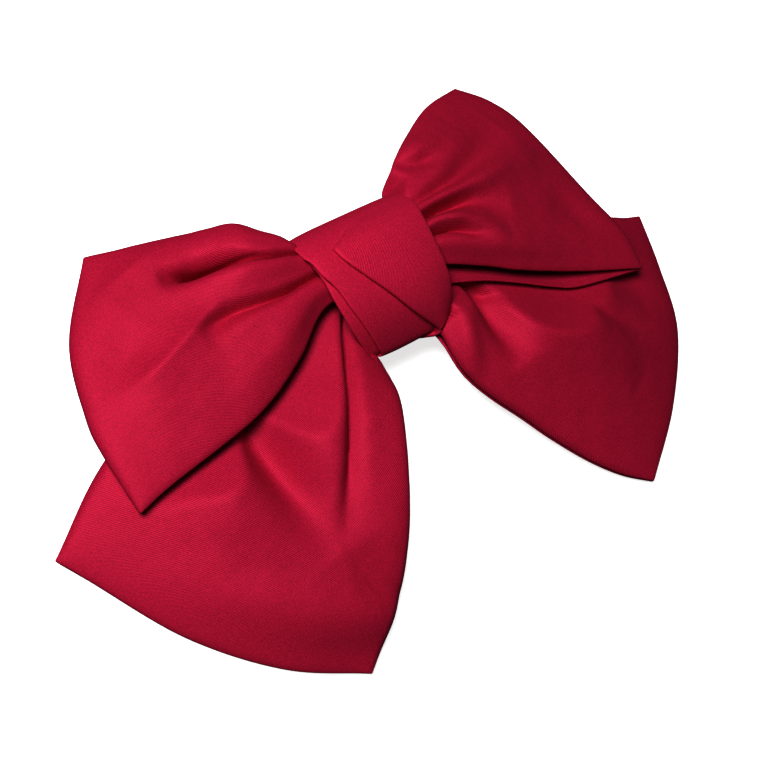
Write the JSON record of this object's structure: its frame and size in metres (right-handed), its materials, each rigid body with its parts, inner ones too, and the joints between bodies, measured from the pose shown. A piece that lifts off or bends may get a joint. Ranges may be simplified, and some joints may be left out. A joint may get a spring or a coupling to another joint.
{
  "type": "hair bow",
  "caption": "Wide satin bow with two loops above two fanned tails, wrapped by a folded knot, on a sprung snap barrette that opens to take a lock of hair.",
  "frame": {"origin": "on the surface that the bow lies on, under the middle of its outline, with the barrette below and the front of the bow up", "axes": "X along the barrette, +X towards its catch; +Y the top of the bow as worn; +Z out of the bow's front"},
  "size_m": [0.194, 0.12, 0.0245],
  "materials": {
    "band_satin": "satin weave, soft gloss",
    "tail_satin": "satin weave, soft gloss",
    "wrap_satin": "satin weave, soft gloss",
    "thread": "twisted polyester thread",
    "felt": "matt felt",
    "plated_steel": "nickel plated, worn",
    "spring_steel": "polished spring steel",
    "rivet_steel": "nickel plated"
  },
  "bodies": {
    "bow": {"upper_bow": "band_satin", "tail_bow": "tail_satin", "knot_wrap": "wrap_satin", "gather_thread": "thread", "knot_stitches": "thread", "backing_pad": "felt", "tack_stitches": "thread", "base_plate": "plated_steel", "tension_spring": "spring_steel", "latch_web": "spring_steel", "latch_rivet": "rivet_steel", "hinge_pin": "rivet_steel"},
    "arm": {"clasp_arm": "plated_steel"},
    "front_finger": {"latch_finger_front": "spring_steel"},
    "rear_finger": {"latch_finger_rear": "spring_steel"}
  },
  "joints": [
    {"name": "arm_hinge", "type": "hinge", "parent": "bow", "child": "arm", "pos_m": [-0.036, 0.0226, 0.0026], "axis": [0, 1, 0], "range_deg": [0, 80], "deforming": ["latch_finger_front", "latch_finger_rear"]},
    {"name": "front_squeeze", "type": "hinge", "parent": "bow", "child": "front_finger", "pos_m": [0.036, 0.0195, 0.0074], "axis": [1, 0, 0], "range_deg": [0, 6], "stiffness_Nm_per_rad": 0.05},
    {"name": "rear_squeeze", "type": "hinge", "parent": "bow", "child": "rear_finger", "pos_m": [0.036, 0.0257, 0.0074], "axis": [-1, 0, 0], "range_deg": [0, 6], "stiffness_Nm_per_rad": 0.05}
  ]
}
